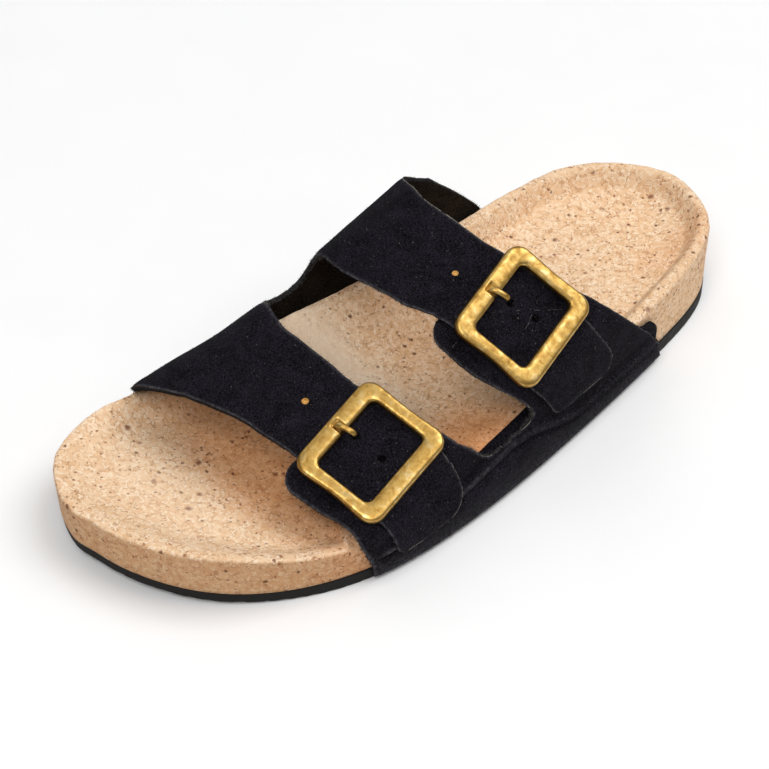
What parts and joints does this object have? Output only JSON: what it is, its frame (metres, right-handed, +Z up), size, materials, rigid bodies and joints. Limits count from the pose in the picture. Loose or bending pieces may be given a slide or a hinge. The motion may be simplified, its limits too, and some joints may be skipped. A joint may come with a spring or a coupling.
{
  "type": "buckle footbed sandal",
  "caption": "Open-toed left sandal with a contoured cork footbed, thin dark outsole and black suede straps that close with rectangular brass buckles.",
  "frame": {"origin": "centre of the bounding box on the ground, under the sole", "axes": "-Y towards the toe, +Y towards the heel, +X towards the outer side of the left foot, +Z up"},
  "size_m": [0.1102, 0.257, 0.0686],
  "materials": {
    "outsole_rubber": "matte black moulded sheet, smooth side wall",
    "cork": "pale tan cork composite with brown granules, lightly sanded",
    "suede": "black suede with a short nap, dark brown fleshy inside and pale frayed cut edges",
    "brass": "aged brass, softly hammered, worn bright on the edges"
  },
  "bodies": {
    "root": {"outsole": "outsole_rubber", "footbed": "cork", "upper": "suede", "buckle_frame_front": "brass", "buckle_frame_back": "brass", "buckle_prong_front": "brass", "buckle_prong_back": "brass"}
  },
  "joints": []
}
